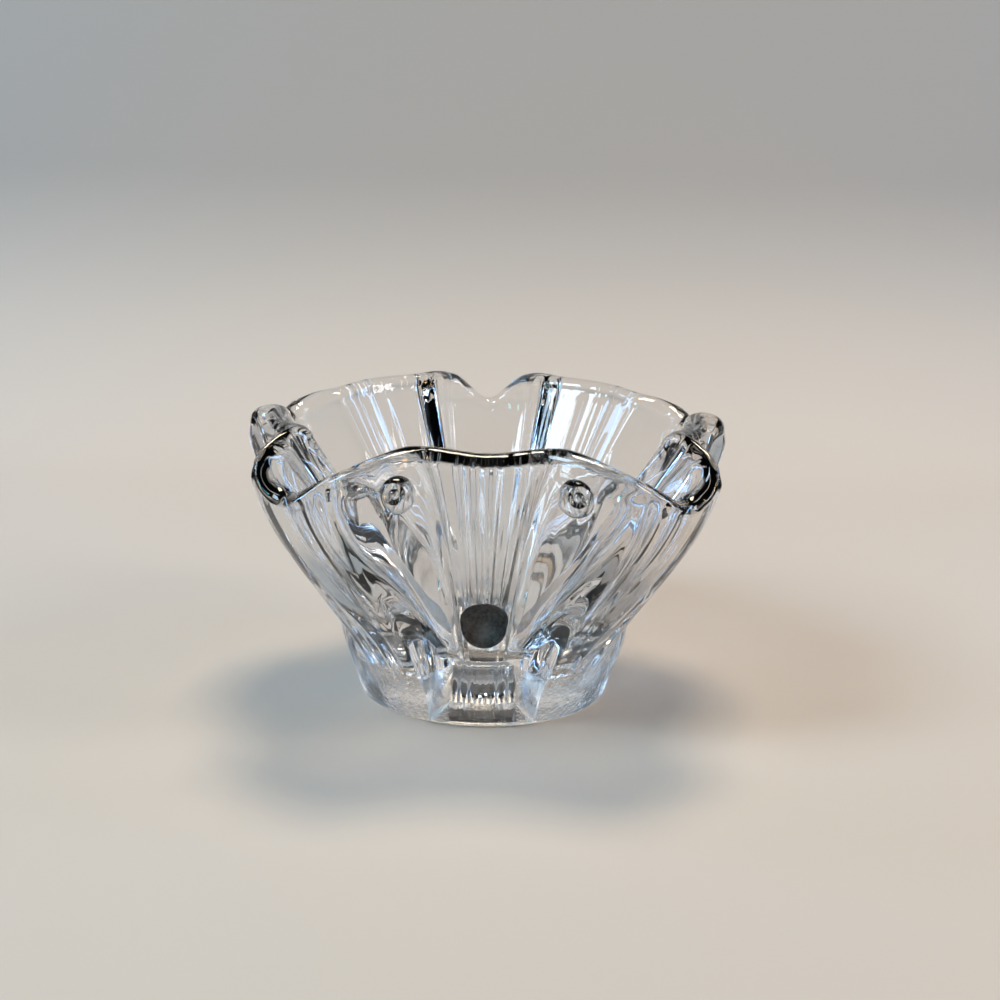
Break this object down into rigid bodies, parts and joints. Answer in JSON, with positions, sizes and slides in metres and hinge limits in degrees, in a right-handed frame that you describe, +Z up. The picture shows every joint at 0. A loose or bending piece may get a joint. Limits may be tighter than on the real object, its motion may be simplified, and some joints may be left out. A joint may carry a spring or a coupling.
{
  "type": "crystal bowl",
  "caption": "Heavy clear crystal bowl with a wavy wall pulled out into open scooped lips, a thick rounded rim and a solid round foot.",
  "frame": {"origin": "middle of the round underside, on the surface that the bowl stands on", "axes": "+Z up out of the bowl, -Y through the middle of the front panel, +X to the right as seen from the front"},
  "size_m": [0.2244, 0.2386, 0.1345],
  "materials": {
    "crystal": "fire-polished, clear",
    "felt": "dense grey felt"
  },
  "bodies": {
    "root": {"crystal_bowl": "crystal", "felt_pad": "felt"}
  },
  "joints": []
}
